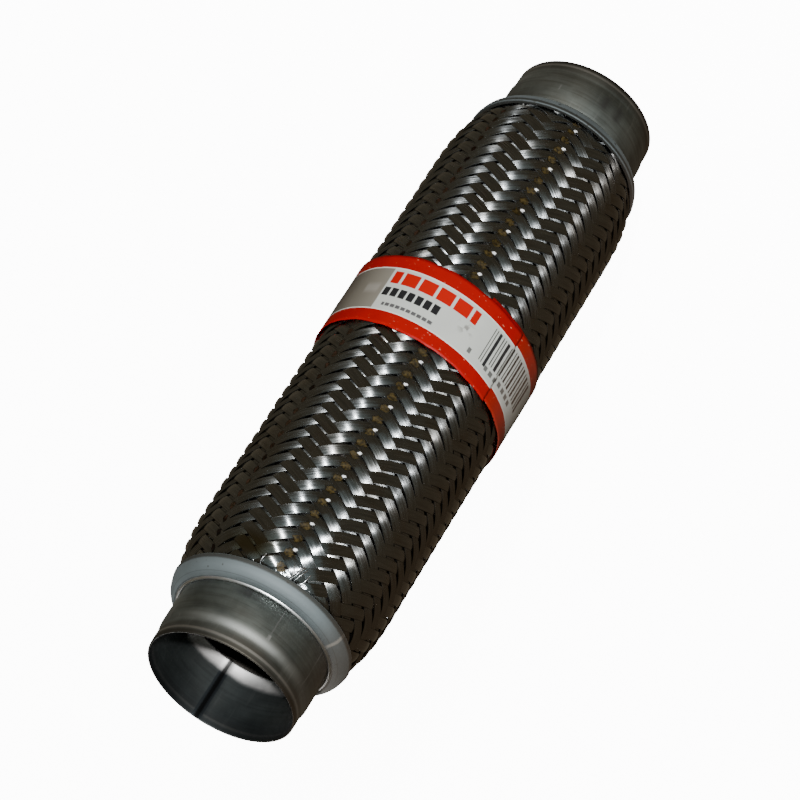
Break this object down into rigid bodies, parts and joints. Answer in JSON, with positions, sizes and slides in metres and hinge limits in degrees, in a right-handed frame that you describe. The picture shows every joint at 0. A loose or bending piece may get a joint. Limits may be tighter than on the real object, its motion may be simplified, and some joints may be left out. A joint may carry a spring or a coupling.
{
  "type": "exhaust flex pipe",
  "caption": "Straight exhaust flex pipe: braided steel sleeve over a bellows, pressed end caps, plain neck pipes at both ends, and a paper band label round the middle.",
  "frame": {"origin": "middle of the bottom edge: on the pipe axis, level with the cut end of the lower neck", "axes": "+Z along the pipe axis from the lower neck to the upper neck; -Y towards the side with the label's printed fields"},
  "size_m": [0.0662, 0.0664, 0.25],
  "materials": {
    "neck_steel": "drawn tube, brushed, oiled",
    "cap_steel": "satin pressed sheet",
    "braid_steel": "bright drawn wire with spots of rust",
    "bellows_steel": "formed sheet",
    "label_paper": "printed paper, red edges and pale middle"
  },
  "bodies": {
    "root": {"lower_neck_pipe": "neck_steel", "upper_neck_pipe": "neck_steel", "lower_end_cap": "cap_steel", "upper_end_cap": "cap_steel", "bellows": "bellows_steel", "wire_braid": "braid_steel", "label_band": "label_paper"}
  },
  "joints": []
}
